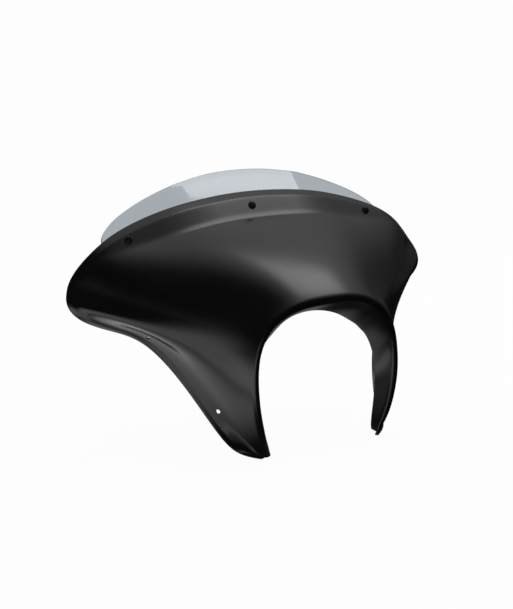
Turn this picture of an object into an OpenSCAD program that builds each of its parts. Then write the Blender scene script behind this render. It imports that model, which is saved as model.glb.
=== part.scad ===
// Headlight cowl with a clear screen behind its upper band.
// Millimetres. The origin is the centre of the headlight opening, in the plane of its front edge.
// The cowl faces -Y, +X is the viewer's right and +Z is up.

/* [Opening] */
// Half the width of the headlight opening at its front edge
opening_half_width = 115; // [113:0.5:117]
// Height of the top of the opening above its centre
opening_top = 90; // [88:0.5:92]
// Depth the front edge falls back for each millimetre of drop
opening_lean = 0.05; // [0.02:0.01:0.08]
// Length of the wall that returns behind the front edge, at the top
return_depth = 42; // [34:1:48]
// Radius of the rounded nose at the top of the opening
nose_round = 8; // [7:0.5:9]

/* [Wings and legs] */
// Half the width across the wing tips
wing_half_width = 303.5; // [298:0.5:309]
// Depth of the wings behind the opening's front edge
wing_depth = 168; // [164:0.5:172]
// Height of the rim above the opening's centre, in the middle
rim_top = 219; // [217:0.5:221]
// How far the legs hang below the opening's centre
leg_drop = 102; // [98:1:106]

/* [Shell] */
// Thickness of the moulding
sheet = 2.5; // [2.2:0.1:2.8]
// Height of the band in the middle, seen from the front
band_height = 24.4; // [23:0.2:25.4]
// Height of the rolled edge strip in the middle, seen from the front
strip_height = 7; // [6:0.2:7.2]
// Slope of the rolled edge strip against the line of travel, in the middle
strip_slope = 33; // [32.5:0.5:37]
// Length rounded off above the crease, on the band
band_round = 10; // [8:0.5:11]
// Length rounded off below the crease, on the main surface
crease_round = 4; // [3:0.5:5]
// Length rounded off on each side of the edge between band and strip
strip_round = 1.2; // [0.8:0.1:1.6]

/* [Screen] */
// Thickness of the clear screen
screen_sheet = 3; // [2:0.5:4]
// Slope of the screen and of the band in front of it
screen_slope = 50.5; // [49:0.5:52]
// Drop from the top of the rim to the line where the screen's seat is measured
seat_drop = 18.8; // [17:0.1:21]
// Distance of the screen's front face behind the opening, on that line
screen_seat = 156.8; // [154:0.2:159]
// Sideways place of the two bends in the screen
bend_place = 102; // [96:1:108]
// Bend of each side panel
bend_angle = 9.6; // [8:0.1:11]
// Half the length over which a bend is spread
bend_round = 12; // [8:1:16]
// Height of the screen above the seat line, along its slope
screen_rise = 58; // [50:1:66]

/* [Fixings] */
// Distance of the outer fixings from the side edge of the screen
fixing_inset = 33.5; // [31:0.5:38]
// How far up the band the fixings sit, as a share of its height
fixing_share = 0.6; // [0.58:0.01:0.64]
// Diameter of the screws
screw_size = 5; // [4:0.5:5]
// Clearance round the screw in the shell
screw_clearance = 0.5; // [0.3:0.1:0.8]
// Diameter of the screw heads
head_width = 9.5; // [8.5:0.5:10]
// Height of the screw heads
head_height = 2.8; // [2.4:0.1:3.2]
// Upright edge of the screw heads
head_edge = 0.3; // [0.2:0.1:0.5]
// Width of the socket across its flats
socket_width = 3; // [2.5:0.5:3.5]
// Depth of the socket
socket_depth = 1.8; // [1.4:0.1:2.2]
// Diameter of the washers
washer_width = 11; // [10.5:0.5:12]
// Thickness of the washers
washer_sheet = 1; // [0.8:0.1:1.2]
// Diameter of the rubber flange between shell and screen
flange_width = 14; // [13:0.5:15]
// Thickness of the rubber flange
flange_sheet = 4.4; // [4.2:0.1:4.8]
// Diameter of the rubber body
rubber_width = 10; // [9.5:0.5:11]
// Length of the rubber body behind the screen
rubber_reach = 10; // [8:0.5:12]
// Diameter of the brass insert
insert_width = 7; // [6.5:0.25:7.5]
// Length of the brass insert
insert_length = 8; // [6:0.5:8]

/* [Mounting holes] */
// Diameter of the hole in each leg
leg_hole = 6; // [5:0.5:7]
// Diameter of the hole near each wing's lower edge
wing_hole = 5; // [4:0.5:6]

/* [Hidden] */
eps = 0.01;
facets = 48;
columns_per_station = 4;
main_rows = 11;
nose_rows = 5;
corner_rows = 3;

// Stations run from the top middle to the tip of the right leg. The left half is the mirror image.
// Front edge of the opening, seen from the front: sideways, up
OPENING = [
    [0, 90], [30, 89.5], [56, 86], [76, 79], [90, 71], [99, 62], [105.5, 53], [110, 43],
    [113.5, 30], [115, 10], [114, -12], [110.5, -36], [103.5, -62], [96.8, -80], [90, -94.3]
];
// Pull on the surface as it leaves the nose: sideways, back, up
SHOULDER = [
    [0, 22, 134], [36, 24, 132], [70, 28, 126], [98, 35, 112], [120, 43, 96],
    [136, 49, 82], [146, 54, 69], [152, 57, 54], [154, 58, 36], [153, 57, 14],
    [147, 56, -10], [135, 50, -40], [119, 35, -70], [107, 16, -88], [96.8, 6.2, -97.4]
];
// Pull on the surface as it nears the crease
SWELL = [
    [0, 92, 175], [54, 93, 172], [108, 94, 164], [158, 98, 150], [203, 104, 131],
    [237, 109, 114], [256, 111, 104], [262, 108, 97], [253, 103, 90], [225, 94, 80],
    [190, 82, 58], [151, 60, 2], [125, 33, -61], [117, 17.5, -88], [99, 6.6, -98.6]
];
// Outer rim
RIM = [
    [0, 163, 219], [60, 163, 216.7], [120, 163, 210.2], [180, 163, 196.3], [236, 167.5, 177],
    [275, 168, 151], [298, 156.5, 122], [303.5, 148, 100], [285, 138, 79.5], [243, 130, 63],
    [205, 116, 44], [168, 90, -6], [141, 55, -66], [128.5, 26, -92.3], [101.5, 9.5, -102]
];
// Height of the band and of the rolled strip, seen from the front
BAND = [24.4, 23.4, 21.8, 19.8, 10, 5.5, 6, 6.5, 5.8, 4.6, 4.2, 4.2, 4.2, 3.8, 2];
STRIP = [7, 7, 6.9, 6.7, 5.6, 4.4, 4.3, 4.2, 3.6, 2.6, 2.1, 2, 2, 1.9, 1.7];
// Slope of the band and of the strip where they have left the screen
BAND_SLOPE = [52, 52, 52, 52, 56, 60, 64, 66, 64, 60, 60, 62, 64, 68, 72];
STRIP_SLOPE = [33, 33, 33, 33, 34, 37, 40, 42, 42, 42, 42, 45, 50, 58, 64];
// Depth of the return wall and how far it closes in toward its rear
RETURN = [42, 42, 42, 41, 40, 39, 38, 36, 34, 31, 29, 26, 20, 13, 7];
TUCK = [20, 24, 31, 38, 40, 40, 38, 34, 27, 15, 4, 0, 0, 8, 14];
// Radius of the nose
NOSE = [8, 8, 7.5, 7, 6.5, 6, 5.5, 5.2, 5.2, 5.5, 6, 6.2, 6, 4.8, 3.2];
// Stations between which the rim leaves the slope of the screen
LEAVE = [3.6, 6];
// Most of the band's height that its lower rounding may take
soft_share = 0.3;

// Upper edge of the screen: sideways, along the slope as a share of the rise
SCREEN_TOP = [
    [0, 1], [42, 0.97], [73, 0.89], [104, 0.79], [135, 0.675], [166, 0.52], [198, 0.305], [220, 0.09],
    [234, -0.13], [237, -0.3]
];
// Lower edge of the screen, the same way
SCREEN_FOOT = [[0, -0.2], [100, -0.26], [170, -0.4], [215, -0.52], [230, -0.5], [237, -0.38]];

seat_height = rim_top - seat_drop;
seat_run = 1 / tan(screen_slope);
slope_length = sqrt(1 + seat_run * seat_run);
bend_run = tan(bend_angle) * slope_length;
last = len(RIM) - 1;

// The real sizes stretch the stations
open_x = opening_half_width / max([for (p = OPENING) p[0]]);
open_z = opening_top / OPENING[0][1];
wing_x = wing_half_width / max([for (p = RIM) p[0]]);
wing_y = wing_depth / max([for (p = RIM) p[1]]);
rim_z = rim_top / RIM[0][2];
drop_z = leg_drop / -RIM[last][2];
function stretch(p, sx, sz) = len(p) == 2
    ? [p[0] * sx, p[1] * (p[1] > 0 ? sz : drop_z)]
    : [p[0] * sx, p[1] * wing_y, p[2] * (p[2] > 0 ? sz : drop_z)];

// Smooth curve through stations. It meets its own mirror image at the first one.
function mirrored(v) = is_num(v) ? v : concat([-v[0]], [for (k = [1 : len(v) - 1]) v[k]]);
function guarded(p) = let (m = len(p) - 1) concat([mirrored(p[1])], p, [2 * p[m] - p[m - 1]]);
function pulled(e) = [for (k = [1 : len(e) - 2]) e[k] - (e[k - 1] - 2 * e[k] + e[k + 1]) / 6];
function curve_points(p) = guarded(pulled(guarded(p)));
function curve(c, u) = let (i = min(floor(u), len(c) - 4), f = u - i, g = 1 - f)
    (g * g * g * c[i] + (3 * f * f * f - 6 * f * f + 4) * c[i + 1]
    + (3 * g * g * g - 6 * g * g + 4) * c[i + 2] + f * f * f * c[i + 3]) / 6;
function curve_run(c, u) = let (i = min(floor(u), len(c) - 4), f = u - i, g = 1 - f)
    (-g * g * c[i] + (3 * f * f - 4 * f) * c[i + 1]
    + (4 * g - 3 * g * g) * c[i + 2] + f * f * c[i + 3]) / 2;

open_c = curve_points([for (p = OPENING) stretch(p, open_x, open_z)]);
shoulder_c = curve_points([for (p = SHOULDER) stretch(p, open_x, open_z)]);
swell_c = curve_points([for (p = SWELL) stretch(p, wing_x, rim_z)]);
rim_c = curve_points([for (p = RIM) stretch(p, wing_x, rim_z)]);
band_c = curve_points(BAND * band_height / BAND[0]);
strip_c = curve_points(STRIP * strip_height / STRIP[0]);
band_slope_c = curve_points(BAND_SLOPE);
strip_slope_c = curve_points(STRIP_SLOPE * strip_slope / STRIP_SLOPE[0]);
return_c = curve_points(RETURN * return_depth / RETURN[0]);
tuck_c = curve_points(TUCK);
nose_c = curve_points(NOSE * nose_round / NOSE[0]);

// Front face of the screen, and the outer face of the band in front of it
function bend_fall(x) = let (a = abs(x) - bend_place)
    bend_run * (a < -bend_round ? 0 : a > bend_round ? a : pow(a + bend_round, 2) / (4 * bend_round));
function bend_grade(x) = let (a = abs(x) - bend_place)
    bend_run * (a < -bend_round ? 0 : a > bend_round ? 1 : (a + bend_round) / (2 * bend_round));
stack = sheet + flange_sheet;
function band_face(x, z) = screen_seat + seat_run * (z - seat_height) + bend_fall(x)
    - stack * sqrt(1 + seat_run * seat_run + pow(bend_grade(x), 2));

function unit(v) = v / norm(v);
function across(d) = unit([-d[len(d) - 1], 0, d[0]]);
function heading(a, n) = [0, cos(a), 0] + sin(a) * n;
function ease(t) = let (s = min(max(t, 0), 1)) s * s * (3 - 2 * s);
function mix(a, b, t) = a * (1 - t) + b * t;
function cubic(a, b, c, d, t) = let (s = 1 - t)
    [s * s * s * a + 3 * s * s * t * b + 3 * s * t * t * c + t * t * t * d,
    s * s * (b - a) + 2 * s * t * (c - b) + t * t * (d - c)];
function corner(a, b, c, t) = let (s = 1 - t)
    [s * s * a + 2 * s * t * b + t * t * c, s * (b - a) + t * (c - b)];

// Corner points of one section: opening, nose, crease, strip start and rim
function frame(u) = let (
    p = curve(open_c, u),
    o = [p[0], -opening_lean * p[1], p[1]],
    no = across(curve_run(open_c, u)),
    r0 = curve(rim_c, u),
    nr = across(curve_run(rim_c, u)),
    strip = curve(strip_c, u),
    band = curve(band_c, u),
    on_seat = 1 - ease((u - LEAVE[0]) / (LEAVE[1] - LEAVE[0])),
    strip_back = strip / tan(curve(strip_slope_c, u)),
    e0 = r0 - strip * nr,
    c0 = e0 - band * nr,
    ey = mix(r0[1] - strip_back, band_face(e0[0], e0[2]), on_seat),
    cy = mix(ey - band / tan(curve(band_slope_c, u)), band_face(c0[0], c0[2]), on_seat),
    rn = curve(nose_c, u),
    tuck = curve(tuck_c, u),
    s = curve(shoulder_c, u),
    d = s - (o + 2 * rn * no)
) [o, no, rn, tuck, atan2(d * no, d[1]), s, curve(swell_c, u),
    [c0[0], cy, c0[2]], [e0[0], ey, e0[2]], [r0[0], ey + strip_back, r0[2]], curve(return_c, u)];

// Nose: turns from the return wall to the main surface
function nose_at(k, t) = let (
    a = mix(180 - k[3], k[4], t),
    c = k[0] + k[2] * (cos(k[3]) * k[1] + [0, sin(k[3]), 0])
) [c + k[2] * (cos(a) * k[1] - [0, sin(a), 0]), heading(a, k[1])];

// Main surface from nose to crease, t from 0 to 1
function main_end(k) = let (reach = min(crease_round, 0.4 * norm(k[8] - k[7])))
    1 - reach / (3 * norm(k[7] - k[6]));
function main_at(k, t) = cubic(nose_at(k, 1)[0], k[5], k[6], k[7], t);

// One column of [point, heading] pairs, from the rear of the return wall to the rim
function column(u) = let (
    k = frame(u),
    wall = -heading(-k[3], k[1]),
    te = main_end(k),
    along = unit(k[8] - k[7]),
    up = unit(k[9] - k[8]),
    band = norm(k[8] - k[7]),
    a = main_at(k, te)[0],
    b = k[7] + along * min(band_round, soft_share * band),
    cut = min(strip_round, 0.4 * band, 0.4 * norm(k[9] - k[8])),
    e = k[8] - along * cut,
    f = k[8] + up * cut
) concat(
    [for (t = [1, 0.5]) [k[0] - wall * k[10] * t, wall]],
    [for (j = [0 : nose_rows]) nose_at(k, j / nose_rows)],
    [for (j = [1 : main_rows]) main_at(k, te * j / main_rows)],
    [for (j = [1 : corner_rows]) corner(a, k[7], b, j / corner_rows)],
    [[e, along], corner(e, k[8], f, 0.5), [f, up]],
    [[k[9], up]]
);

steps = last * columns_per_station;
half = [for (i = [0 : steps]) column(i / columns_per_station)];
strip_of_columns = [for (i = [-steps : steps]) i < 0
    ? [for (q = half[-i]) [mirrored(q[0]), mirrored(q[1])]]
    : half[i]];
wide = len(strip_of_columns);
deep = len(half[0]);
function outer_point(i, j) = strip_of_columns[i][j][0];
function inward(i, j) = unit(cross(strip_of_columns[i][j][1],
    outer_point(min(i + 1, wide - 1), j) - outer_point(max(i - 1, 0), j)));

// Vertex numbers of the outer skin, then of the inner skin
function outer(i, j) = i * deep + j;
function inner(i, j) = wide * deep + outer(i, j);
// Two triangles of a cell, its diagonal mirrored from side to side
function cell(a, b, c, d, flip) = flip ? [[a, b, c], [a, c, d]] : [[a, b, d], [b, c, d]];

module skin() {
    points = concat(
        [for (i = [0 : wide - 1]) for (j = [0 : deep - 1]) outer_point(i, j)],
        [for (i = [0 : wide - 1]) for (j = [0 : deep - 1]) outer_point(i, j) + sheet * inward(i, j)]
    );
    front = [for (i = [0 : wide - 2]) for (j = [0 : deep - 2])
        each cell(outer(i, j), outer(i, j + 1), outer(i + 1, j + 1), outer(i + 1, j), i < steps)];
    back = [for (i = [0 : wide - 2]) for (j = [0 : deep - 2])
        each cell(inner(i, j), inner(i + 1, j), inner(i + 1, j + 1), inner(i, j + 1), i < steps)];
    rear = [for (i = [0 : wide - 2])
        each cell(outer(i, 0), outer(i + 1, 0), inner(i + 1, 0), inner(i, 0), i < steps)];
    rim = [for (i = [0 : wide - 2])
        each cell(outer(i, deep - 1), inner(i, deep - 1), inner(i + 1, deep - 1), outer(i + 1, deep - 1),
            i < steps)];
    left_tip = [for (j = [0 : deep - 2])
        each cell(outer(0, j), inner(0, j), inner(0, j + 1), outer(0, j + 1), true)];
    right_tip = [for (j = [0 : deep - 2])
        each cell(outer(wide - 1, j), outer(wide - 1, j + 1), inner(wide - 1, j + 1), inner(wide - 1, j),
            false)];
    polyhedron(points, concat(front, back, rear, rim, left_tip, right_tip), convexity = 10);
}

// Frame of the screen: x sideways, y up along the slope, z out of the front face
module on_screen() {
    multmatrix([
        [1, 0, 0, 0],
        [0, seat_run / slope_length, -1 / slope_length, screen_seat],
        [0, 1 / slope_length, seat_run / slope_length, seat_height],
        [0, 0, 0, 1]
    ]) children();
}

// The fixings sit on the band. The outer ones are found by their distance from the screen's edge.
screen_half_width = SCREEN_TOP[len(SCREEN_TOP) - 1][0] * wing_x;
fixing_x = screen_half_width - fixing_inset;
search_steps = 16;
function on_band(u) = let (k = frame(u)) mix(k[7], k[8], fixing_share);
function station_at(x, low = 0, high = 6, left = search_steps) = let (u = (low + high) / 2)
    left == 0 ? u : on_band(u)[0] < x ? station_at(x, u, high, left - 1) : station_at(x, low, u, left - 1);
function along_slope(p) = ((p[1] - screen_seat) * seat_run + p[2] - seat_height) / slope_length;
rise_middle = along_slope(on_band(0));
rise_side = along_slope(on_band(station_at(fixing_x + stack * sin(bend_angle))));

// Frame of one fixing, side -1, 0 or 1: z along the screw, out of the front face of the screen
module on_fixing(side) {
    x = side * fixing_x;
    on_screen()
        translate([x, side == 0 ? rise_middle : rise_side, -bend_fall(x) / slope_length])
            rotate([0, side * bend_angle, 0])
                children();
}

// Mounting holes sit on the main surface: station along the edge, share of the way to the crease
LEG_HOLE_AT = [11.6, 0.8];
WING_HOLE_AT = [9.8, 0.96];
hole_step = 0.1;
function place(q) = let (k = frame(q[0])) main_at(k, q[1] * main_end(k));
function place_normal(q) = let (
    ahead = place([q[0] + hole_step, q[1]])[0],
    behind = place([q[0] - hole_step, q[1]])[0]
) unit(cross(place(q)[1], ahead - behind));
module at_surface(q, side) {
    p = place(q)[0];
    n = place_normal(q);
    mirror([side < 0 ? 1 : 0, 0, 0])
        translate(p)
            rotate([0, acos(n[2]), atan2(n[1], n[0])])
                children();
}

module screw_hole(side) {
    on_fixing(side)
        translate([0, 0, -screen_sheet])
            cylinder(h = stack + 3 * screen_sheet, d = screw_size + screw_clearance, $fn = facets);
}

module mounting_hole(q, side, width) {
    at_surface(q, side)
        translate([0, 0, -2 * sheet])
            cylinder(h = 5 * sheet, d = width, $fn = facets);
}

module cowl_shell() {
    color([0.03, 0.03, 0.03])
        difference() {
            skin();
            for (side = [-1, 0, 1]) screw_hole(side);
            for (side = [-1, 1]) mounting_hole(LEG_HOLE_AT, side, leg_hole);
            for (side = [-1, 1]) mounting_hole(WING_HOLE_AT, side, wing_hole);
        }
}

// Screen: its bent section swept up the slope, cut to its outline
top_c = curve_points(SCREEN_TOP);
edge_steps = 3;
screen_edge = [for (k = [0 : (len(SCREEN_TOP) - 1) * edge_steps]) curve(top_c, k / edge_steps)];
screen_half = concat([for (p = screen_edge) p], [for (k = [len(SCREEN_FOOT) - 1 : -1 : 1]) SCREEN_FOOT[k]]);
bend_steps = 6;
bend_marks = concat([0], [for (k = [-bend_steps : 2 : bend_steps])
    bend_place + bend_round * k / bend_steps], [screen_half_width + bend_round]);
function bend_point(x, back) = let (g = bend_grade(x) / slope_length)
    [x, -bend_fall(x) / slope_length] - back * unit([g, 1]);

module screen_outline() {
    right = [for (p = screen_half) [p[0] * wing_x, p[1] * screen_rise]];
    left = [for (k = [len(right) - 1 : -1 : 1]) [-right[k][0], right[k][1]]];
    polygon(concat(right, [[0, SCREEN_FOOT[0][1] * screen_rise]], left));
}

module screen_section() {
    front = [for (x = bend_marks) bend_point(x, 0)];
    back = [for (k = [len(bend_marks) - 1 : -1 : 0]) bend_point(bend_marks[k], screen_sheet)];
    right = concat(front, back);
    polygon(concat(right, [for (k = [len(right) - 2 : -1 : 1]) [-right[k][0], right[k][1]]]));
}

module windscreen() {
    color([0.85, 0.9, 0.93, 0.4])
        difference() {
            on_screen()
                intersection() {
                    translate([0, 0, -5 * bend_round])
                        linear_extrude(height = 6 * bend_round) screen_outline();
                    rotate([90, 0, 0])
                        translate([0, 0, -2 * screen_rise])
                            linear_extrude(height = 4 * screen_rise) screen_section();
                }
            for (side = [-1, 0, 1])
                on_fixing(side)
                    translate([0, 0, -2 * screen_sheet])
                        cylinder(h = 3 * screen_sheet, d = rubber_width, $fn = facets);
        }
}

module screw(side) {
    top = stack + washer_sheet;
    shank = top + screen_sheet + rubber_reach;
    color([0.05, 0.05, 0.05])
        on_fixing(side)
            difference() {
                union() {
                    translate([0, 0, top]) button_head();
                    translate([0, 0, top - shank])
                        cylinder(h = shank + eps, d = screw_size, $fn = facets);
                }
                translate([0, 0, top + head_height - socket_depth])
                    cylinder(h = head_height, d = socket_width / cos(30), $fn = 6);
            }
}

module button_head() {
    flat = head_width * 0.25;
    rotate_extrude($fn = facets)
        polygon(concat(
            [[0, 0], [head_width / 2, 0]],
            [for (a = [0 : 15 : 90])
                [flat + (head_width / 2 - flat) * cos(a), head_edge + (head_height - head_edge) * sin(a)]],
            [[0, head_height]]
        ));
}

module washer(side) {
    color([0.06, 0.06, 0.06])
        on_fixing(side)
            translate([0, 0, stack])
                difference() {
                    cylinder(h = washer_sheet, d = washer_width, $fn = facets);
                    translate([0, 0, -eps])
                        cylinder(h = washer_sheet + 2 * eps, d = screw_size, $fn = facets);
                }
}

module rubber(side) {
    length = screen_sheet + rubber_reach;
    color([0.08, 0.08, 0.08])
        on_fixing(side)
            difference() {
                union() {
                    cylinder(h = flange_sheet, d = flange_width, $fn = facets);
                    translate([0, 0, -length])
                        cylinder(h = length + eps, d = rubber_width, $fn = facets);
                }
                translate([0, 0, -length - eps])
                    cylinder(h = length + stack, d = screw_size, $fn = facets);
                translate([0, 0, -length - eps])
                    cylinder(h = insert_length + eps, d = insert_width, $fn = facets);
            }
}

module insert(side) {
    color([0.7, 0.55, 0.25])
        on_fixing(side)
            translate([0, 0, -screen_sheet - rubber_reach])
                difference() {
                    cylinder(h = insert_length, d = insert_width, $fn = facets);
                    translate([0, 0, -eps])
                        cylinder(h = insert_length + 2 * eps, d = screw_size, $fn = facets);
                }
}

module screw_left() { screw(-1); }
module screw_middle() { screw(0); }
module screw_right() { screw(1); }
module washer_left() { washer(-1); }
module washer_middle() { washer(0); }
module washer_right() { washer(1); }
module rubber_left() { rubber(-1); }
module rubber_middle() { rubber(0); }
module rubber_right() { rubber(1); }
module insert_left() { insert(-1); }
module insert_middle() { insert(0); }
module insert_right() { insert(1); }

cowl_shell();
windscreen();
screw_left();
screw_middle();
screw_right();
washer_left();
washer_middle();
washer_right();
rubber_left();
rubber_middle();
rubber_right();
insert_left();
insert_middle();
insert_right();
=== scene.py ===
# %% [markdown]
# # A glossy headlight cowl with a clear screen
# The cowl is one thin black moulding that wraps a round headlight. What the eye reads first is not
# its colour but the long soft reflections that run over it, so the lesson is mostly about a smooth
# surface and the lights it mirrors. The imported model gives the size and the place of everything.

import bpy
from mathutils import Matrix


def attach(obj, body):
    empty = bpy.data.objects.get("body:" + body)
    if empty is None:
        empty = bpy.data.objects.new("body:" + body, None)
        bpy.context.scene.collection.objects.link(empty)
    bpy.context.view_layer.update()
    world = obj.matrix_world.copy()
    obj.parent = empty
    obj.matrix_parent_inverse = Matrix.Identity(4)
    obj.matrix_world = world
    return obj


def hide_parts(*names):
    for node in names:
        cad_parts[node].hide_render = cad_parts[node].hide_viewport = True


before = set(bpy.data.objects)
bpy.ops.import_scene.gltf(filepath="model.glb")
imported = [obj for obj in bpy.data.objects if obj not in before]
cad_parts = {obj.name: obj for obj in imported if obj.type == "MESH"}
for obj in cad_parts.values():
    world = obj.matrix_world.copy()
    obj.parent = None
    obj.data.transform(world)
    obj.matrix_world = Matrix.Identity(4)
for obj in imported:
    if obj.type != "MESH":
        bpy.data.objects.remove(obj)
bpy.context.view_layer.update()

# %% Tools and units
import math

import bmesh
import bpy
import numpy as np
from mathutils import Matrix, Vector

MM = 0.001
BODY = "root"
scene = bpy.context.scene
print("nodes in the frame:", len(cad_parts))

# %% [markdown]
# ## Camera
# The photograph looks at the cowl from the viewer's left and a little above, through a long lens.
# Working in pixels keeps this plain: a lens as long as 2500 pixels, and one named point of the
# cowl that has to land on one named pixel of the picture.

# %% Place the camera
PICTURE = (513, 609)
LENS_PIXELS = 2500
PIXELS_PER_MM = 0.76
AIM_POINT = Vector((0, 72, 45)) * MM
AIM_PIXEL = (290, 330)
SENSOR_MM = 36
TURN, RISE = math.radians(40), math.radians(10.5)

to_camera = Vector((
    -math.sin(TURN) * math.cos(RISE), -math.cos(TURN) * math.cos(RISE), math.sin(RISE)))
right = Vector((math.cos(TURN), -math.sin(TURN), 0))
up = to_camera.cross(right)
off_right = (PICTURE[0] / 2 - AIM_PIXEL[0]) / PIXELS_PER_MM * MM
off_up = (AIM_PIXEL[1] - PICTURE[1] / 2) / PIXELS_PER_MM * MM
distance = LENS_PIXELS / PIXELS_PER_MM * MM

camera_data = bpy.data.cameras.new("camera")
camera_data.sensor_width = SENSOR_MM
camera_data.lens = LENS_PIXELS / max(PICTURE) * camera_data.sensor_width
camera_data.clip_end = 100
camera = bpy.data.objects.new("camera", camera_data)
camera.location = AIM_POINT + off_right * right + off_up * up + distance * to_camera
camera.rotation_euler = Matrix((right, up, to_camera)).transposed().to_euler()
scene.collection.objects.link(camera)
scene.camera = camera
print("camera", distance, "m away, lens", round(camera_data.lens, 1), "mm")

# %% [markdown]
# ## Guide curves
# A modeller would draw this cowl with a few curves: the edge of the opening, two curves that pull
# the surface into its shape, and the outer rim. Each curve is a smooth spline through stations that
# run from the top middle to the tip of the right leg. They are the same stations as in the CAD
# model, so the fine surface made here lies on the solid. A cage with a subdivision modifier would
# be quicker to draw, but its surface only comes near its points, and a mirror shows every miss.

# %% Stations of the guide curves, in millimetres
OPENING = [
    (0, 90), (30, 89.5), (56, 86), (76, 79), (90, 71), (99, 62), (105.5, 53), (110, 43),
    (113.5, 30), (115, 10), (114, -12), (110.5, -36), (103.5, -62), (96.8, -80), (90, -94.3),
]
SHOULDER = [
    (0, 22, 134), (36, 24, 132), (70, 28, 126), (98, 35, 112), (120, 43, 96),
    (136, 49, 82), (146, 54, 69), (152, 57, 54), (154, 58, 36), (153, 57, 14),
    (147, 56, -10), (135, 50, -40), (119, 35, -70), (107, 16, -88), (96.8, 6.2, -97.4),
]
SWELL = [
    (0, 92, 175), (54, 93, 172), (108, 94, 164), (158, 98, 150), (203, 104, 131),
    (237, 109, 114), (256, 111, 104), (262, 108, 97), (253, 103, 90), (225, 94, 80),
    (190, 82, 58), (151, 60, 2), (125, 33, -61), (117, 17.5, -88), (99, 6.6, -98.6),
]
RIM = [
    (0, 163, 219), (60, 163, 216.7), (120, 163, 210.2), (180, 163, 196.3), (236, 167.5, 177),
    (275, 168, 151), (298, 156.5, 122), (303.5, 148, 100), (285, 138, 79.5), (243, 130, 63),
    (205, 116, 44), (168, 90, -6), (141, 55, -66), (128.5, 26, -92.3), (101.5, 9.5, -102),
]
BAND = [24.4, 23.4, 21.8, 19.8, 10, 5.5, 6, 6.5, 5.8, 4.6, 4.2, 4.2, 4.2, 3.8, 2]
STRIP = [7, 7, 6.9, 6.7, 5.6, 4.4, 4.3, 4.2, 3.6, 2.6, 2.1, 2, 2, 1.9, 1.7]
BAND_SLOPE = [52, 52, 52, 52, 56, 60, 64, 66, 64, 60, 60, 62, 64, 68, 72]
STRIP_SLOPE = [33, 33, 33, 33, 34, 37, 40, 42, 42, 42, 42, 45, 50, 58, 64]
RETURN = [42, 42, 42, 41, 40, 39, 38, 36, 34, 31, 29, 26, 20, 13, 7]
TUCK = [20, 24, 31, 38, 40, 40, 38, 34, 27, 15, 4, 0, 0, 8, 14]
NOSE = [8, 8, 7.5, 7, 6.5, 6, 5.5, 5.2, 5.2, 5.5, 6, 6.2, 6, 4.8, 3.2]
# Between these two stations the band leaves the plane of the screen
LEAVE = (3.6, 6)
LAST = len(RIM) - 1
# The opening's front edge leans forward by this much for each millimetre of height
OPENING_LEAN = 0.05
print("stations on each curve:", len(RIM))

# %% [markdown]
# ## Splines
# Pulling each station a little away from its neighbours before drawing a uniform spline makes the
# spline pass almost through the stations and keeps its bend even, which is what a mirror-like
# surface needs. The first station has its own mirror image as neighbour, so both halves meet
# without a ridge.

# %% Smooth curves through stations
def mirrored(values):
    turned = np.array(values, float)
    if turned.size > 1:
        turned[0] = -turned[0]
    return turned


def guarded(points):
    return np.vstack([mirrored(points[1]), points, 2 * points[-1] - points[-2]])


def curve_points(stations):
    points = np.array(stations, float).reshape(len(stations), -1)
    wide = guarded(points)
    return guarded(wide[1:-1] - (wide[:-2] - 2 * wide[1:-1] + wide[2:]) / 6)


def curve(stations, u, run=False):
    c = curve_points(stations)
    i = np.minimum(u.astype(int), len(c) - 4)
    f = (u - i)[:, None]
    g = 1 - f
    if run:
        return (-g**2 * c[i] + (3 * f**2 - 4 * f) * c[i + 1]
                + (4 * g - 3 * g**2) * c[i + 2] + f**2 * c[i + 3]) / 2
    return (g**3 * c[i] + (3 * f**3 - 6 * f**2 + 4) * c[i + 1]
            + (3 * g**3 - 6 * g**2 + 4) * c[i + 2] + f**3 * c[i + 3]) / 6


print("middle of the rim:", curve(RIM, np.array([0.0]))[0])

# %% [markdown]
# ## The band follows the screen
# The clear screen is a flat sheet with two soft bends, and the upper band of the cowl lies
# parallel to it. One function gives the depth of the screen's front face, and the band sits in
# front of that by its own thickness and a rubber flange. Moulding the cowl leaves its bend much
# softer than that of the sheet, so the band moves up to 1.4 mm back at the two bends and its
# reflection fades there, while the one in the screen stops at a line. A fault comes with it: for
# about 27 mm at each bend the back of the rolled strip reaches up to 0.5 mm into the screen. It is
# hidden from the front, and a smaller BAND_BEND_ROUND would cure it.

# %% Screen face and band face
SHEET = 2.5
FLANGE = 4.4
STACK = SHEET + FLANGE
SCREEN_SHEET = 3
SEAT_HEIGHT, SCREEN_SEAT = 200.2, 156.8
SEAT_RUN = 1 / math.tan(math.radians(50.5))
SLOPE_LENGTH = math.hypot(1, SEAT_RUN)
BEND_PLACE, BEND_ROUND, BEND_ANGLE = 102, 12, math.radians(9.6)
BAND_BEND_ROUND = 45
BEND_RUN = math.tan(BEND_ANGLE) * SLOPE_LENGTH


def bend_fall(x, reach=BEND_ROUND):
    a = np.abs(x) - BEND_PLACE
    soft = (a + reach) ** 2 / (4 * reach)
    return BEND_RUN * np.where(a < -reach, 0, np.where(a > reach, a, soft))


def bend_grade(x, reach=BEND_ROUND):
    return BEND_RUN * np.clip((np.abs(x) - BEND_PLACE + reach) / (2 * reach), 0, 1)


def band_face(x, z):
    lean = np.sqrt(1 + SEAT_RUN**2 + bend_grade(x, BAND_BEND_ROUND) ** 2)
    return SCREEN_SEAT + SEAT_RUN * (z - SEAT_HEIGHT) + bend_fall(x, BAND_BEND_ROUND) - STACK * lean


print("band depth at the middle:", round(float(band_face(0.0, 200.0)), 1), "mm")

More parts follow.
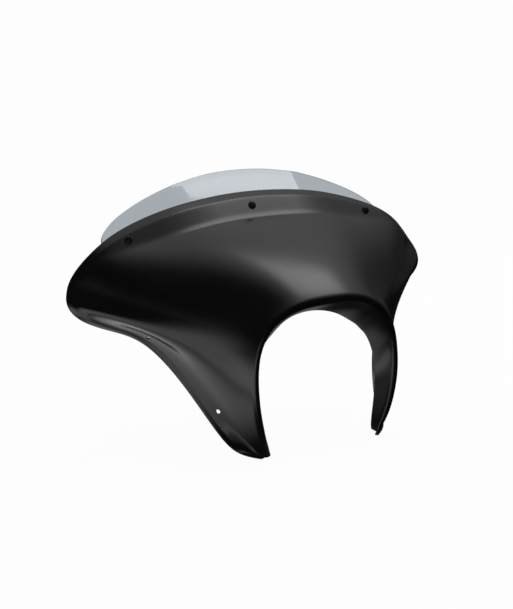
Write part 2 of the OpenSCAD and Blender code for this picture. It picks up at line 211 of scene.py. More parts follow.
# %% [markdown]
# ## Sections
# At each station along the edge a section runs from the rear of the return wall, round the nose,
# over the swept main surface, through a tight crease, up the band and out over the rolled strip.
# The function below gives all sections at once, each point with the heading of the section there.
# At the tips of the legs the sections swell into a low dome, because a trimmed leg has round
# corners.

# %% Headings and short curves
# Steps between the points of one section, from the rear of the return wall to the rim
ROWS = {"wall": 6, "nose": 14, "main": 56, "crease": 10, "band": 5, "edge": 4, "strip": 4}
BACK = np.array([0, 1.0, 0])


def heading(angle, out):
    return np.cos(angle) * BACK + np.sin(angle) * out


def across(run):
    out = np.stack([-run[:, -1], 0 * run[:, 0], run[:, 0]], 1)
    return out / np.linalg.norm(out, axis=1)[:, None]


def unit(v):
    return v / np.linalg.norm(v, axis=-1)[..., None]


def cubic(a, b, c, d, t):
    s = 1 - t
    return (s**3 * a + 3 * s * s * t * b + 3 * s * t * t * c + t**3 * d,
            s * s * (b - a) + 2 * s * t * (c - b) + t * t * (d - c))


def corner(a, b, c, t):
    s = 1 - t
    return s * s * a + 2 * s * t * b + t * t * c, s * (b - a) + t * (c - b)


print("points across a section:", sum(ROWS.values()) + 1)

# %% Crease, edge and rim
def edge_lines(u):
    """The crease, the edge between band and strip, and the rim."""
    rim = curve(RIM, u)
    out_r = across(curve(RIM, u, run=True))
    strip, band = curve(STRIP, u), curve(BAND, u)
    t = np.clip((u - LEAVE[0]) / (LEAVE[1] - LEAVE[0]), 0, 1)[:, None]
    on_seat = 1 - t * t * (3 - 2 * t)
    strip_back = strip / np.tan(np.radians(curve(STRIP_SLOPE, u)))
    edge = rim - strip * out_r
    crease = edge - band * out_r
    free = rim[:, 1:2] - strip_back
    edge[:, 1:2] = free * (1 - on_seat) + band_face(edge[:, :1], edge[:, 2:]) * on_seat
    free = edge[:, 1:2] - band / np.tan(np.radians(curve(BAND_SLOPE, u)))
    crease[:, 1:2] = free * (1 - on_seat) + band_face(crease[:, :1], crease[:, 2:]) * on_seat
    rim[:, 1:2] = edge[:, 1:2] + strip_back
    return crease, edge, rim


print("rim at the middle:", edge_lines(np.array([0.0]))[2][0].round(1))

# %% One section for every value of u
# How far the crease is rounded off on the main surface and on the band, and the edge above the
# band, in millimetres. Where the band is narrow, each is held to a share of its width.
CREASE_ROUND, BAND_ROUND, EDGE_ROUND = 4, 10, 1.2
NARROW_SHARE, SOFT_SHARE = 0.4, 0.3


def sections(u):
    crease, edge, rim = edge_lines(u)
    flat = curve(OPENING, u)
    o = np.stack([flat[:, 0], -OPENING_LEAN * flat[:, 1], flat[:, 1]], 1)
    out_o = across(curve(OPENING, u, run=True))
    radius = curve(NOSE, u)
    tuck = np.radians(curve(TUCK, u))
    shoulder, swell = curve(SHOULDER, u), curve(SWELL, u)
    d = shoulder - (o + 2 * radius * out_o)
    leave = np.arctan2((d * out_o).sum(1), d[:, 1])[:, None]
    rows = []

    wall = -heading(-tuck, out_o)
    depth = curve(RETURN, u)
    for k in range(ROWS["wall"]):
        rows.append((o - wall * depth * (1 - k / ROWS["wall"]), wall))

    centre = o + radius * (np.cos(tuck) * out_o + np.sin(tuck) * BACK)
    for k in range(ROWS["nose"] + 1):
        t = k / ROWS["nose"]
        a = (math.pi - tuck) * (1 - t) + leave * t
        rows.append((centre + radius * (np.cos(a) * out_o - np.sin(a) * BACK), heading(a, out_o)))
    nose_end = rows[-1][0]

    band_length = np.linalg.norm(edge - crease, axis=1)[:, None]
    strip_length = np.linalg.norm(rim - edge, axis=1)[:, None]
    along, upward = (edge - crease) / band_length, (rim - edge) / strip_length
    reach = np.minimum(CREASE_ROUND, NARROW_SHARE * band_length)
    end = 1 - reach / (3 * np.linalg.norm(crease - swell, axis=1)[:, None])
    for k in range(1, ROWS["main"] + 1):
        rows.append(cubic(nose_end, shoulder, swell, crease, end * k / ROWS["main"]))

    a, b = rows[-1][0], crease + along * np.minimum(BAND_ROUND, SOFT_SHARE * band_length)
    for k in range(1, ROWS["crease"] + 1):
        rows.append(corner(a, crease, b, k / ROWS["crease"]))
    cut = np.minimum(EDGE_ROUND, NARROW_SHARE * np.minimum(band_length, strip_length))
    e, f = edge - along * cut, edge + upward * cut
    for k in range(1, ROWS["band"] + 1):
        rows.append((b + (e - b) * k / ROWS["band"], along))
    for k in range(1, ROWS["edge"] + 1):
        rows.append(corner(e, edge, f, k / ROWS["edge"]))
    for k in range(1, ROWS["strip"] + 1):
        rows.append((f + (rim - f) * k / ROWS["strip"], upward))
    points = np.stack([np.broadcast_to(p, o.shape) for p, _ in rows], 1)
    heads = np.stack([np.broadcast_to(h, o.shape) for _, h in rows], 1)
    return points, unit(heads)


print("section at the middle ends at:", sections(np.array([0.0]))[0][0, -1].round(1))

# %% Half of the cowl, with the rounded tip of its leg
COLUMNS_PER_STATION = 20
# The dome starts at station 13. Its middle bulges by 3.5 mm, and the corner of the return wall is
# trimmed by 1.5 mm or a little more.
TIP_BULGE, TIP_TRIM, TIP_START = 3.5, 1.5, 13.0
half_u = np.linspace(0, LAST, LAST * COLUMNS_PER_STATION + 1)
half_points, half_heads = sections(half_u)
step = unit(half_points[-1] - half_points[-2]).mean(0)
nose_front = ROWS["wall"] + ROWS["nose"] // 2
tip_steps = np.linalg.norm(np.diff(half_points[-1], axis=0), axis=1)
gone = np.concatenate([[0], np.cumsum(tip_steps)])
across_tip = 2 * (gone - gone[nose_front]) / (gone[-1] - gone[nose_front]) - 1
dome = np.maximum(TIP_BULGE * (1 - across_tip**2), -TIP_TRIM * np.abs(across_tip))
swing = np.clip((half_u - TIP_START) / (LAST - TIP_START), 0, 1) ** 2
half_points += (swing[:, None] * dome)[..., None] * unit(step)
print("sections:", half_points.shape[0], "with", half_points.shape[1], "points each")

# %% [markdown]
# ## Thickness and edges
# A moulding is a sheet, so the outer skin gets an inner skin behind it at the same distance all
# over. The two are joined round the edge with small radii, because a cut edge on a real moulding
# is never knife sharp and the thin bright line on it is what shows its thickness.

# %% Two skins and the rounded edges between them
EDGE_RADIUS = 0.7
ARC = [math.radians(a) for a in (0, 30, 60, 90)]


def both_sides(values):
    turned = values[:0:-1].copy()
    turned[..., 0] *= -1
    return np.concatenate([turned, values])


def edge_loop(p, head, n):
    """Points from the outer skin, round the cut edge, to the inner skin."""
    r = EDGE_RADIUS
    first = [p - head * r + n * r + r * (-n * math.cos(a) + head * math.sin(a)) for a in ARC]
    second = [p - head * r + n * (SHEET - r) + r * (n * math.sin(a) + head * math.cos(a))
              for a in ARC]
    return first + second


outer = both_sides(half_points)
heads = both_sides(half_heads)
run = np.gradient(outer, axis=0)
inward = unit(np.cross(heads, run))
rim_loop = edge_loop(outer[:, -1], heads[:, -1], inward[:, -1])
rear_loop = edge_loop(outer[:, 0], -heads[:, 0], inward[:, 0])
loop = np.concatenate([
    outer[:, 1:-1],
    np.stack(rim_loop, 1),
    (outer + SHEET * inward)[:, -2:0:-1],
    np.stack(rear_loop[::-1], 1),
], axis=1)
print("points round a section:", loop.shape[1])

# %% Rounded ends of the legs
half_way = outer + SHEET / 2 * inward
rim_middle = half_way[:, -1:] - EDGE_RADIUS * heads[:, -1:]
rear_middle = half_way[:, :1] + EDGE_RADIUS * heads[:, :1]
middle_of_sheet = np.concatenate([
    half_way[:, 1:-1],
    np.repeat(rim_middle, len(rim_loop), 1),
    half_way[:, -2:0:-1],
    np.repeat(rear_middle, len(rear_loop), 1),
], axis=1)


def tip_columns(i, direction):
    """The last section pulled in and rounded, so that the leg's tip has soft edges too."""
    step = unit(run[i]).mean(0) * direction
    step = step / np.linalg.norm(step)
    thin = 1 - EDGE_RADIUS / (SHEET / 2)
    columns = []
    for a in ARC:
        keep = thin + (1 - thin) * math.cos(a)
        flat = middle_of_sheet[i] + (loop[i] - middle_of_sheet[i]) * keep
        columns.append(flat + step * EDGE_RADIUS * (math.sin(a) - 1))
    return columns


left_tip = tip_columns(0, -1)[::-1]
right_tip = tip_columns(-1, 1)
grid = np.concatenate([np.stack(left_tip), loop[1:-1], np.stack(right_tip)])
wide, round_count = grid.shape[:2]
print("columns:", wide)

# %% Faces round the sheet and over the two leg tips
faces = []
for i in range(wide - 1):
    a, b = i * round_count, (i + 1) * round_count
    for j in range(round_count):
        k = (j + 1) % round_count
        faces.append((a + j, a + k, b + k, b + j))
rows_deep = outer.shape[1] - 2
skin_end = rows_deep + len(rim_loop)
for i, turn in ((0, 1), (wide - 1, -1)):
    base = i * round_count
    for j in range(rows_deep - 1):
        a, b = base + j, base + j + 1
        c, d = base + skin_end + rows_deep - 2 - j, base + skin_end + rows_deep - 1 - j
        faces.append((a, d, c, b)[::turn])
    ends = [base + rows_deep - 1 + k for k in range(len(rim_loop) + 2)]
    faces.append(tuple(ends[::-turn]))
    first = skin_end + rows_deep - 1
    ends = [base + (first + k) % round_count for k in range(len(rear_loop) + 2)]
    faces.append(tuple(ends[::-turn]))
print("faces:", len(faces))

# %% A closed object from points and faces
def closed_object(name, mesh_name, points, faces, bevel=0.0, bevel_from=60, bevel_steps=3):
    """An object with its faces turned outward and, if asked, its sharp edges bevelled."""
    mesh = bpy.data.meshes.new(mesh_name)
    mesh.from_pydata(points, [], faces)
    mesh.validate()
    bm = bmesh.new()
    bm.from_mesh(mesh)
    bmesh.ops.recalc_face_normals(bm, faces=bm.faces)
    if bevel:
        sharp = math.radians(bevel_from)
        edges = [e for e in bm.edges if e.is_manifold and e.calc_face_angle(0) > sharp]
        bmesh.ops.bevel(bm, geom=edges, offset=bevel, segments=bevel_steps, profile=0.5,
                        affect="EDGES")
    volume, loose = bm.calc_volume() * 1e6, sum(not e.is_manifold for e in bm.edges)
    print(name, "volume", round(volume, 1), "cm3, open edges", loose)
    bm.to_mesh(mesh)
    bm.free()
    thing = bpy.data.objects.new(name, mesh)
    scene.collection.objects.link(thing)
    return thing


shell = closed_object("cowl_skin", "cowl_shell_fine", (grid.reshape(-1, 3) * MM).tolist(), faces)

# %% [markdown]
# ## Fixings
# Three screws hold the screen. Each goes through a washer, the cowl, a rubber flange and the
# screen into a brass insert in a rubber body. All of them share one small frame of their own:
# the front face of the screen is zero and the screw's axis points out of it.

# %% Where the fixings are
# Distance of the outer screws from the middle, and how far up the band all three sit
FIXING_REACH, FIXING_SHARE = 203.5, 0.6
BAND_STATIONS = np.linspace(0, 6, 1201)
SIDES = {"left": -1, "middle": 0, "right": 1}
screen_up = Vector((0, SEAT_RUN, 1)) / SLOPE_LENGTH
screen_out = Vector((0, -1, SEAT_RUN)) / SLOPE_LENGTH
screen_frame = Matrix.Translation((0, SCREEN_SEAT, SEAT_HEIGHT)) @ Matrix(
    (Vector((1, 0, 0)), screen_up, screen_out)).transposed().to_4x4()


def rise_at(x):
    """Height along the screen's slope of the line of fixings, at a distance x from the middle."""
    low, high, _ = edge_lines(BAND_STATIONS)
    line = low + (high - low) * FIXING_SHARE
    height = ((line[:, 1] - SCREEN_SEAT) * SEAT_RUN + line[:, 2] - SEAT_HEIGHT) / SLOPE_LENGTH
    return float(np.interp(x, line[:, 0], height))


def fixing_frame(side):
    x = side * FIXING_REACH
    rise = rise_at(FIXING_REACH + STACK * math.sin(BEND_ANGLE)) if side else rise_at(0)
    place = Matrix.Translation((x, rise, -float(bend_fall(x)) / SLOPE_LENGTH))
    return screen_frame @ place @ Matrix.Rotation(side * BEND_ANGLE, 4, "Y")


for name, side in SIDES.items():
    print(name, "fixing at", [round(v, 1) for v in fixing_frame(side).translation])

# %% A frame anywhere on the main surface
MAIN_FIRST = ROWS["wall"] + ROWS["nose"]
STATION_STEP = 0.1


def surface_frame(u, share, side):
    """A frame at station u and a share of the way to the crease, its z axis square to the skin."""
    points, heads_here = sections(np.array([u - STATION_STEP, u, u + STATION_STEP]))
    row = MAIN_FIRST + share * ROWS["main"]
    low = int(row)
    mix = row - low
    line = points[:, low] * (1 - mix) + points[:, min(low + 1, MAIN_FIRST + ROWS["main"])] * mix
    n = np.cross(heads_here[1, low], line[2] - line[0])
    z = Vector(n / np.linalg.norm(n))
    p = Vector(line[1])
    p.x, z.x = p.x * side, z.x * side
    return Matrix.Translation(p) @ z.to_track_quat("Z", "Y").to_matrix().to_4x4()


print("the main surface starts at row", MAIN_FIRST)

# %% A drill
FACETS = 48


def shade(mesh, sharp_degrees):
    """Smooth shading that leaves every edge steeper than the given angle sharp."""
    for polygon in mesh.polygons:
        polygon.use_smooth = True
    mesh.set_sharp_from_angle(angle=math.radians(sharp_degrees))


def drill(thing, holes, drill_mm, sharp_degrees):
    """Cuts round holes, each given by its frame and its width in millimetres."""
    cutter_mesh = bpy.data.meshes.new("drills")
    bm = bmesh.new()
    for place, width in holes:
        in_metres = Matrix.Scale(MM, 4) @ place @ Matrix.Scale(1 / MM, 4)
        bmesh.ops.create_cone(bm, cap_ends=True, segments=FACETS, radius1=width / 2 * MM,
                              radius2=width / 2 * MM, depth=drill_mm * MM, matrix=in_metres)
    bm.to_mesh(cutter_mesh)
    bm.free()
    cutter = bpy.data.objects.new("drills", cutter_mesh)
    scene.collection.objects.link(cutter)
    cut = thing.modifiers.new("holes", "BOOLEAN")
    cut.object = cutter
    cut.operation = "DIFFERENCE"
    cut.solver = "EXACT"
    depsgraph = bpy.context.evaluated_depsgraph_get()
    drilled = bpy.data.meshes.new_from_object(thing.evaluated_get(depsgraph))
    thing.modifiers.clear()
    thing.data = drilled
    bpy.data.objects.remove(cutter)
    shade(drilled, sharp_degrees)
    print(thing.name, "has", len(drilled.polygons), "faces after drilling", len(holes), "holes")


print("facets round a hole:", FACETS)

# %% Drill the cowl
SCREW, SCREW_PLAY = 5, 0.5
LEG_HOLE, LEG_HOLE_AT = 6, (11.6, 0.8)
WING_HOLE, WING_HOLE_AT = 5, (9.8, 0.96)
holes = [(fixing_frame(side), SCREW + SCREW_PLAY) for side in SIDES.values()]
holes += [(surface_frame(*LEG_HOLE_AT, side), LEG_HOLE) for side in (-1, 1)]
holes += [(surface_frame(*WING_HOLE_AT, side), WING_HOLE) for side in (-1, 1)]
drill(shell, holes, drill_mm=24, sharp_degrees=50)
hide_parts("cowl_shell")
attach(shell, BODY)

# %% [markdown]
# ## Materials
# One function turns a hex colour, as a paint chart gives it, into the linear values that the
# renderer works with, and one adds a node with its settings and its links. The patterns are all
# made from noise in the object's own space, so they need no picture and no unwrapping.

# %% Colour and node helpers
def paint(code, alpha=1.0):
    channels = [int(code[i:i + 2], 16) / 255 for i in (1, 3, 5)]
    linear = [c / 12.92 if c <= 0.04045 else ((c + 0.055) / 1.055) ** 2.4 for c in channels]
    return (*linear, alpha)


def add_node(tree, kind, links=(), inputs=(), **settings):
    """A node with its settings, its constant inputs and its links as (input, output socket)."""
    node = tree.nodes.new(kind)
    for name, value in settings.items():
        setattr(node, name, value)
    for name, value in inputs:
        node.inputs[name].default_value = value
    for name, socket in links:
        tree.links.new(socket, node.inputs[name])
    return node


def new_material(name):
    material = bpy.data.materials.new(name)
    material.use_nodes = True
    tree = material.node_tree
    tree.nodes.clear()
    return material, tree


def finish_material(tree, shader):
    add_node(tree, "ShaderNodeOutputMaterial", links=[("Surface", shader.outputs[0])])


print("black ABS in linear:", [round(v, 4) for v in paint("#050506")])

# %% [markdown]
# ## Soft gloss black
# The cowl is moulded in black ABS with a soft gloss. The colour is nearly nothing, so all that is
# seen is what the surface mirrors, and its slight roughness melts the lamps into long gradients.
# Two more things keep it from looking like glass: a very faint waviness of the skin, about a
# centimetre across, and a trace of dust that dulls it in patches.

# %% Soft gloss ABS
# Roughness 0.23 where the skin is clean and 0.26 where dust lies: lamps show as soft gradients
WAVE_MM, WAVE_HEIGHT_MM, DUST_MM = 9.0, 0.1, 35.0
CLEAN, DUSTY = 0.23, 0.26
soft_gloss, tree = new_material("soft_gloss_black_abs")
place = add_node(tree, "ShaderNodeTexCoord")
wave = add_node(tree, "ShaderNodeTexNoise", links=[("Vector", place.outputs["Object"])],
                inputs=[("Scale", 1 / (WAVE_MM * MM)), ("Detail", 1.0), ("Roughness", 0.4)])
dust = add_node(tree, "ShaderNodeTexNoise", links=[("Vector", place.outputs["Object"])],
                inputs=[("Scale", 1 / (DUST_MM * MM)), ("Detail", 5.0), ("Roughness", 0.6)])
dull = add_node(tree, "ShaderNodeMapRange", links=[("Value", dust.outputs["Fac"])],
                inputs=[("From Min", 0.35), ("From Max", 0.75), ("To Min", CLEAN),
                        ("To Max", DUSTY)])
peel = add_node(tree, "ShaderNodeBump", links=[("Height", wave.outputs["Fac"])],
                inputs=[("Strength", 0.05), ("Distance", WAVE_HEIGHT_MM * MM)])
tint = add_node(tree, "ShaderNodeMixRGB", links=[("Fac", dust.outputs["Fac"])],
                inputs=[("Color1", paint("#030303")), ("Color2", paint("#050506"))])
plastic = add_node(tree, "ShaderNodeBsdfPrincipled",
                   links=[("Base Color", tint.outputs[0]), ("Roughness", dull.outputs["Result"]),
                          ("Normal", peel.outputs["Normal"])],
                   inputs=[("IOR", 1.5)])
finish_material(tree, plastic)
shell.data.materials.clear()
shell.data.materials.append(soft_gloss)
print("waviness", WAVE_MM, "mm")

# %% [markdown]
# ## Clear screen
# The screen is sawn from 3 mm acrylic and bent along two lines. The sheet is drawn flat as columns
# between its upper and lower edge, laid on the bent face, given its thickness and a small polished
# bevel all round.

# %% Outline of the flat sheet
# How far the screen stands above its seat in the middle. Both outlines are shares of it.
SCREEN_RISE = 58
SCREEN_TOP = [
    (0, 1), (42, 0.97), (73, 0.89), (104, 0.79), (135, 0.675), (166, 0.52), (198, 0.305),
    (220, 0.09), (234, -0.13), (237, -0.3),
]
SCREEN_FOOT = [(0, -0.2), (100, -0.26), (170, -0.4), (215, -0.52), (230, -0.5), (237, -0.38)]
COLUMNS_IN_HALF = 90
top = curve(SCREEN_TOP, np.linspace(0, len(SCREEN_TOP) - 1, COLUMNS_IN_HALF + 1))
top[-1] = SCREEN_TOP[-1]
foot = np.interp(top[:, 0], [p[0] for p in SCREEN_FOOT], [p[1] for p in SCREEN_FOOT])
half_sheet = np.stack([top[:, 0], top[:, 1] * SCREEN_RISE, foot * SCREEN_RISE], 1)
columns = np.concatenate([half_sheet[:0:-1] * np.array([-1, 1, 1]), half_sheet])
print("columns of the screen:", len(columns))

# %% Bend the sheet and give it its thickness
SCREEN_ROWS = 10
vertices, faces = [], []
for x, high, low in columns:
    slope = -float(bend_grade(x)) / SLOPE_LENGTH * np.sign(x)
    normal = Vector((-slope, 0, 1)).normalized()
    fall = -float(bend_fall(x)) / SLOPE_LENGTH
    for k in range(SCREEN_ROWS + 1):
        front = Vector((x, low + (high - low) * k / SCREEN_ROWS, fall))
        vertices.append(screen_frame @ front * MM)
        vertices.append(screen_frame @ (front - normal * SCREEN_SHEET) * MM)
per_column = 2 * (SCREEN_ROWS + 1)
for i in range(len(columns) - 1):
    a, b = i * per_column, (i + 1) * per_column
    for k in range(SCREEN_ROWS):
        p = 2 * k
        faces.append((a + p, b + p, b + p + 2, a + p + 2))
        faces.append((a + p + 1, a + p + 3, b + p + 3, b + p + 1))
    faces.append((a, a + 1, b + 1, b))
    t = per_column - 2
    faces.append((a + t, b + t, b + t + 1, a + t + 1))
for a in (0, (len(columns) - 1) * per_column):
    for k in range(SCREEN_ROWS):
        p = 2 * k
        faces.append((a + p, a + p + 2, a + p + 3, a + p + 1))
print("faces of the screen:", len(faces))

# %% Bevel and drill the screen
SCREEN_BEVEL = 0.6
RUBBER = 10
screen = closed_object("screen_sheet", "windscreen_fine", [tuple(v) for v in vertices], faces,
                       bevel=SCREEN_BEVEL * MM)
drill(screen, [(fixing_frame(side), RUBBER) for side in SIDES.values()],
      drill_mm=20, sharp_degrees=35)
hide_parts("windscreen")
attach(screen, BODY)

# %% [markdown]
# ## Acrylic
# The sheet is cast acrylic with a light grey-blue tint. It is smooth, so it mirrors the soft box in
# its middle and not in its side panels, and that is why the two bends show as steps of
# brightness. Wiping leaves very faint marks that only change how sharp the reflection is.

# %% Clear acrylic
# Roughness 0.02 where the sheet is polished and 0.06 along the wiping marks: clear, a little soft
WIPE_MM = 12.0
POLISHED, WIPED = 0.02, 0.06
acrylic, tree = new_material("clear_acrylic")
place = add_node(tree, "ShaderNodeTexCoord")
wipe = add_node(tree, "ShaderNodeTexNoise", links=[("Vector", place.outputs["Object"])],
                inputs=[("Scale", 1 / (WIPE_MM * MM)), ("Detail", 4.0), ("Roughness", 0.6)])
sharpness = add_node(tree, "ShaderNodeMapRange", links=[("Value", wipe.outputs["Fac"])],
                     inputs=[("From Min", 0.3), ("From Max", 0.7), ("To Min", POLISHED),
                             ("To Max", WIPED)])
tint = add_node(tree, "ShaderNodeMixRGB", links=[("Fac", wipe.outputs["Fac"])],
                inputs=[("Color1", paint("#a4abb1")), ("Color2", paint("#a9b0b5"))])
glass = add_node(tree, "ShaderNodeBsdfPrincipled",
                 links=[("Base Color", tint.outputs[0]),
                        ("Roughness", sharpness.outputs["Result"])],
                 inputs=[("IOR", 1.49), ("Transmission Weight", 1.0)])
finish_material(tree, glass)
screen.data.materials.clear()
screen.data.materials.append(acrylic)
print("wiping marks", WIPE_MM, "mm")

# %% [markdown]
# ## Small parts
# The washers, rubber bodies and inserts are already right as solids, so they only get their
# finishes: blackened steel, matte nylon, moulded rubber and turned brass. Their real grain is
# about a tenth of a millimetre, which the render can't show, so it is drawn several times coarser.

# %% Finishes of the fixings
GRAIN_HEIGHT_MM = 0.1


def grained(name, colour, second, grain_mm, rough, metallic=0.0):
    """A finish of two near colours and two roughnesses, mixed by one grain."""
    material, tree = new_material(name)
    place = add_node(tree, "ShaderNodeTexCoord")
    grain = add_node(tree, "ShaderNodeTexNoise", links=[("Vector", place.outputs["Object"])],
                     inputs=[("Scale", 1 / (grain_mm * MM)), ("Detail", 3.0)])
    tint = add_node(tree, "ShaderNodeMixRGB", links=[("Fac", grain.outputs["Fac"])],
                     inputs=[("Color1", paint(colour)), ("Color2", paint(second))])
    level = add_node(tree, "ShaderNodeMapRange", links=[("Value", grain.outputs["Fac"])],
                     inputs=[("To Min", rough[0]), ("To Max", rough[1])])
    relief = add_node(tree, "ShaderNodeBump", links=[("Height", grain.outputs["Fac"])],
                      inputs=[("Strength", 0.1), ("Distance", GRAIN_HEIGHT_MM * MM)])
    shader = add_node(tree, "ShaderNodeBsdfPrincipled",
                      links=[("Base Color", tint.outputs[0]),
                             ("Roughness", level.outputs["Result"]),
                             ("Normal", relief.outputs["Normal"])],
                      inputs=[("Metallic", metallic)])
    finish_material(tree, shader)
    return material


# Oxide leaves steel a dark, half dull mirror. Nylon and rubber scatter light, rubber the more.
# Brass is a warm mirror, blurred by the marks of the lathe.
finishes = {
    "screw": grained("blackened_steel", "#1c1c1e", "#2a2a2c", 0.8, (0.3, 0.45), metallic=1.0),
    "washer": grained("matte_nylon", "#141415", "#1c1c1d", 0.6, (0.5, 0.65)),
    "rubber": grained("moulded_rubber", "#161616", "#202020", 1.5, (0.65, 0.85)),
    "insert": grained("turned_brass", "#c9a352", "#b8924a", 0.8, (0.28, 0.4), metallic=1.0),
}
for name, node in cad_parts.items():
    kind = name.split("_")[0]
    if kind in finishes:
        node.data.materials.clear()
        node.data.materials.append(finishes[kind])
        shade(node.data, sharp_degrees=35)
print("finishes:", sorted(finishes))

# %% [markdown]
# ## Floor
# The floor is plain white paper. What the camera sees of it, also through the screen, is held
# near paper white, with the soft shadow of the cowl left in. Mirrored rays get something else: a
# painted reflection drawn for them alone, a glow that is bright on the left and dark in front and
# on the right. Real cards could be laid out instead, but they would show in the picture and in the
# other views. This painted glow gives the left leg its light side. In plain white all round the
# cowl would look grey.

# %% Floor
FLOOR_DROP = -103 * MM
FLOOR_REACH = 40
floor_mesh = bpy.data.meshes.new("floor")
corners = [(-1, -1), (1, -1), (1, 1), (-1, 1)]
floor_mesh.from_pydata([(x * FLOOR_REACH, y * FLOOR_REACH, FLOOR_DROP) for x, y in corners],
                       [], [(0, 1, 2, 3)])
floor = bpy.data.objects.new("floor", floor_mesh)
scene.collection.objects.link(floor)
print("floor at", round(FLOOR_DROP / MM, 1), "mm")

# %% Helpers for patterns of brightness
def soft_step(tree, vector, toward, start, end, low, high):
    """Goes softly from low to high while the vector reaches from start to end toward a side."""
    reach = add_node(tree, "ShaderNodeVectorMath", operation="DOT_PRODUCT", links=[(0, vector)],
                     inputs=[(1, toward)])
    step = add_node(tree, "ShaderNodeMapRange", links=[("Value", reach.outputs["Value"])],
                    interpolation_type="SMOOTHSTEP",
                    inputs=[("From Min", start), ("From Max", end), ("To Min", low),
                            ("To Max", high)])
    return step.outputs[0]


def calculate(tree, operation, *values):
    """A math node whose inputs are sockets or plain numbers."""
    node = add_node(tree, "ShaderNodeMath", operation=operation)
    for k, value in enumerate(values):
        if isinstance(value, (int, float)):
            node.inputs[k].default_value = value
        else:
            tree.links.new(value, node.inputs[k])
    return node.outputs[0]


def product(tree, *sockets):
    """The sockets multiplied, the last two first."""
    if len(sockets) == 1:
        return sockets[0]
    return calculate(tree, "MULTIPLY", sockets[0], product(tree, *sockets[1:]))


WHITE = (1, 1, 1, 1)
RIGHTWARD, BACKWARD, UPWARD = (1, 0, 0), (0, 1, 0), (0, 0, 1)
LEFTWARD = (-1, 0, 0)
print("directions:", RIGHTWARD, BACKWARD, UPWARD)

# %% The painted reflection that mirrored rays see on the floor
# Each step is a direction, where it starts and ends in metres, and the brightness at either side
# Painted glow, bright as lit paper on the left and dark in front and on the right
PAINTED_PAPER_GLOW = [
    ((-0.5, 0.86, 0), 0.07, 0.21, 0.06, 1.5),
    (LEFTWARD, 0.26, 0.38, 1.0, 0.3),
    (LEFTWARD, 0.04, 0.14, 0.3, 1.0),
]
# A painted strip of light on the floor between the legs, which the return wall mirrors
STRIP_WAY = (1, -0.3, 0)
LIGHT_STRIP = [
    (STRIP_WAY, 0.12, 0.04, 0.0, 0.8),
    (STRIP_WAY, -0.11, -0.05, 0.0, 1.0),
    (BACKWARD, -0.04, 0.02, 0.0, 1.0),
]
# A painted pool of window light on the floor, for mirrored rays alone
PAINTED_WINDOW_POOL = [
    ((-0.6, -0.8, 0), 0.16, 0.32, 0.0, 1.3),
    ((-0.9, 0.43, 0), 0.02, 0.16, 0.0, 1.0),
]
FADE_BEHIND = (BACKWARD, 0.25, 0.7, 1.0, 0.15)

paper, tree = new_material("white_paper_with_painted_reflection")
spot = add_node(tree, "ShaderNodeTexCoord").outputs["Object"]
painted_pale_glow, strip, window = (product(tree, *(soft_step(tree, spot, *step) for step in steps))
                       for steps in (PAINTED_PAPER_GLOW, LIGHT_STRIP, PAINTED_WINDOW_POOL))
near = product(tree, soft_step(tree, spot, *FADE_BEHIND), calculate(tree, "ADD", painted_pale_glow, strip))
pattern = add_node(tree, "ShaderNodeEmission", inputs=[("Color", WHITE)],
                   links=[("Strength", calculate(tree, "ADD", near, window))])
print("steps in the floor's pattern:", len(PAINTED_PAPER_GLOW) + len(LIGHT_STRIP) + len(PAINTED_WINDOW_POOL) + 1)

# %% White paper
# Paper scatters light evenly, so it shows no gloss. The camera sees 95 parts of even white to 5
# parts of lit paper, which is enough to keep the shadow. Light bent by the screen counts as
# mirrored too, so it is taken off again.
EVEN_WHITE = 0.95
lit = add_node(tree, "ShaderNodeBsdfDiffuse", inputs=[("Color", paint("#f4f4f4"))])
glow = add_node(tree, "ShaderNodeEmission", inputs=[("Color", WHITE), ("Strength", 1.0)])
ray = add_node(tree, "ShaderNodeLightPath")
through = ray.outputs["Is Transmission Ray"]
in_picture = calculate(tree, "MAXIMUM", ray.outputs["Is Camera Ray"], through)
in_skin = calculate(tree, "SUBTRACT", ray.outputs["Is Glossy Ray"], through)
seen = add_node(tree, "ShaderNodeMixShader", links=[
    ("Fac", calculate(tree, "MULTIPLY", in_picture, EVEN_WHITE)), (1, lit.outputs[0]),
    (2, glow.outputs[0])])
# Mirrored rays get the painted reflection in place of the paper
surface = add_node(tree, "ShaderNodeMixShader", links=[
    ("Fac", calculate(tree, "MAXIMUM", in_skin, 0.0)), (1, seen.outputs[0]),
    (2, pattern.outputs[0])])
finish_material(tree, surface)
floor_mesh.materials.append(paper)
print("floor finish:", paper.name)

# %% [markdown]
# ## Light
# A black skin is lit by what it mirrors. One soft box stands over the front on the right, and the
# band and the middle panel of the screen mirror it. The bright sweep over the top is the ceiling,
# which glows dimly behind and to the right of the cowl. It is dark to the left and in front, so
# the wing sinks into a deep hollow. A low window on the left adds a little light under the wing.
# Ceiling and window are drawn in the world for mirrored rays alone. Large lamps could take their
# place, but they would also light the floor and the small parts.

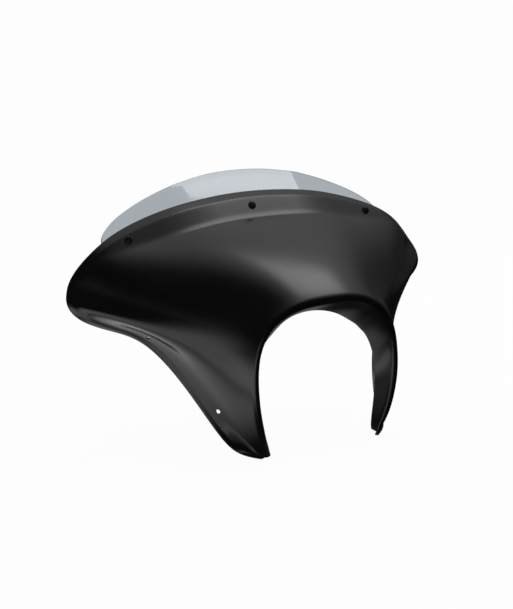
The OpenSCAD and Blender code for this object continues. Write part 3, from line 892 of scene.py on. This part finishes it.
# %% Soft box
BOX_WAY = Vector((0.554, -0.075, 0.829))
BOX_DISTANCE, BOX_WIDE, BOX_LONG, BOX_RADIANCE = 2.4, 1.05, 0.8, 2.7
lamp = bpy.data.lights.new("overhead_box", "AREA")
lamp.shape = "RECTANGLE"
lamp.size, lamp.size_y = BOX_WIDE, BOX_LONG
lamp.energy = BOX_RADIANCE * math.pi * BOX_WIDE * BOX_LONG
z = BOX_WAY.normalized()
back = Vector(BACKWARD)
y = (back - back.dot(z) * z).normalized()
soft_box = bpy.data.objects.new("overhead_box", lamp)
soft_box.location = AIM_POINT + z * BOX_DISTANCE
soft_box.rotation_euler = Matrix((y.cross(z), y, z)).transposed().to_euler()
scene.collection.objects.link(soft_box)
print("soft box:", round(lamp.energy, 2), "W")

# %% Surroundings
CEILING = [((1, 1, 0), -0.35, 0.35, 0.03, 1.0), (UPWARD, 0.15, 0.85, 0.06, 0.72)]
LOW_WINDOW = [
    (RIGHTWARD, -0.2, -0.5, 0.0, 1.0),
    (BACKWARD, -0.35, -0.87, 0.3, 1.4),
    (UPWARD, 0.5, -0.05, 0.02, 1.0),
]
ROOM_LIGHT, PAGE_WHITE = 0.75, 1.0
world = bpy.data.worlds.new("studio")
world.use_nodes = True
scene.world = world
tree = world.node_tree
tree.nodes.clear()
way = add_node(tree, "ShaderNodeTexCoord").outputs["Generated"]
ceiling, window = (product(tree, *(soft_step(tree, way, *step) for step in steps))
                   for steps in (CEILING, LOW_WINDOW))
mirrored_room = add_node(tree, "ShaderNodeBackground", inputs=[("Color", WHITE)],
                         links=[("Strength", calculate(tree, "ADD", ceiling, window))])
room, page = (add_node(tree, "ShaderNodeBackground", inputs=[("Color", WHITE), ("Strength", level)])
              for level in (ROOM_LIGHT, PAGE_WHITE))
ray = add_node(tree, "ShaderNodeLightPath")
in_picture = calculate(tree, "MAXIMUM", ray.outputs["Is Camera Ray"],
                       ray.outputs["Is Transmission Ray"])
lighting = add_node(tree, "ShaderNodeMixShader", links=[
    ("Fac", ray.outputs["Is Glossy Ray"]), (1, room.outputs[0]), (2, mirrored_room.outputs[0])])
whole = add_node(tree, "ShaderNodeMixShader", links=[
    ("Fac", in_picture), (1, lighting.outputs[0]), (2, page.outputs[0])])
add_node(tree, "ShaderNodeOutputWorld", links=[("Surface", whole.outputs[0])])
scene.view_settings.view_transform = "Standard"
